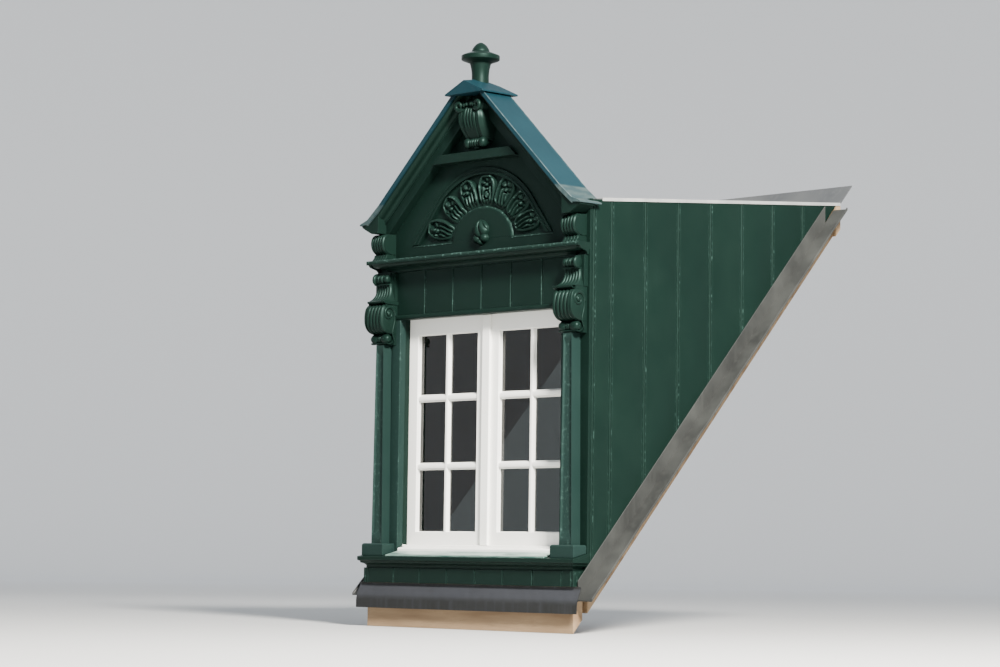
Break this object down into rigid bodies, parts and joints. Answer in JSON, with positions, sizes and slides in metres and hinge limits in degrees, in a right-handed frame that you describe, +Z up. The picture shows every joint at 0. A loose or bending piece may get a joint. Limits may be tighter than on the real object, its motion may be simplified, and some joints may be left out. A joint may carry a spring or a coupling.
{
  "type": "dormer window",
  "caption": "Timber dormer window with boarded cheeks, flat roof, carved gable front, scroll brackets, finial and a two-leaf casement; seats on a steep tiled roof",
  "frame": {"origin": "middle of the front curb's sloping underside, which seats on the roof, in line with the front boards", "axes": "+X to the right seen from the front, +Y into the roof, +Z up; the roof slopes up along +Y at 47.2 degrees"},
  "size_m": [1.812, 2.2339, 3.0922],
  "materials": {
    "green_paint": "dark bottle green gloss paint on timber",
    "green_metal": "blue-green painted sheet metal",
    "white_paint": "white gloss paint on timber",
    "pale_paint": "pale weathered paint on timber",
    "bare_timber": "sawn softwood",
    "inner_paint": "matt off-white paint on boards",
    "lead": "dull grey sheet lead",
    "roof_metal": "grey sheet metal with standing edges",
    "trim_metal": "light grey metal edge trim",
    "pane": "clear window glass"
  },
  "bodies": {
    "root": {"apron_boards": "green_paint", "sill": "green_paint", "window_frame": "green_paint", "frieze_boards": "green_paint", "frieze_moulding": "green_paint", "cornice": "green_paint", "tympanum_panel": "green_paint", "gable_back": "green_paint", "collar_board": "green_paint", "arch_moulding": "green_paint", "fan_carving": "green_paint", "rosette": "green_paint", "apex_console": "green_paint", "finial": "green_paint", "cheek_boards_left": "green_paint", "cheek_boards_right": "green_paint", "corner_board_left": "green_paint", "corner_board_right": "green_paint", "base_block_left": "green_paint", "base_block_right": "green_paint", "pilaster_left": "green_paint", "pilaster_right": "green_paint", "console_left": "green_paint", "console_right": "green_paint", "end_block_left": "green_paint", "end_block_right": "green_paint", "eave_moulding_left": "green_paint", "eave_moulding_right": "green_paint", "raking_cornice_left": "green_paint", "raking_cornice_right": "green_paint", "gable_roof_left": "green_metal", "gable_roof_right": "green_metal", "cap": "green_metal", "sash_left": "white_paint", "sash_right": "white_paint", "cover_strip": "white_paint", "sill_board": "pale_paint", "curb_front": "bare_timber", "sill_beam": "bare_timber", "rear_header": "bare_timber", "head_frame": "bare_timber", "roof_deck": "bare_timber", "cheek_frame_left": "bare_timber", "cheek_frame_right": "bare_timber", "ceiling_lining": "inner_paint", "head_lining": "inner_paint", "cheek_lining_left": "inner_paint", "cheek_lining_right": "inner_paint", "window_board": "inner_paint", "apron_flashing": "lead", "side_flashing_left": "lead", "side_flashing_right": "lead", "roof_covering": "roof_metal", "roof_trim_left": "trim_metal", "roof_trim_right": "trim_metal", "glass_left": "pane", "glass_right": "pane"}
  },
  "joints": []
}
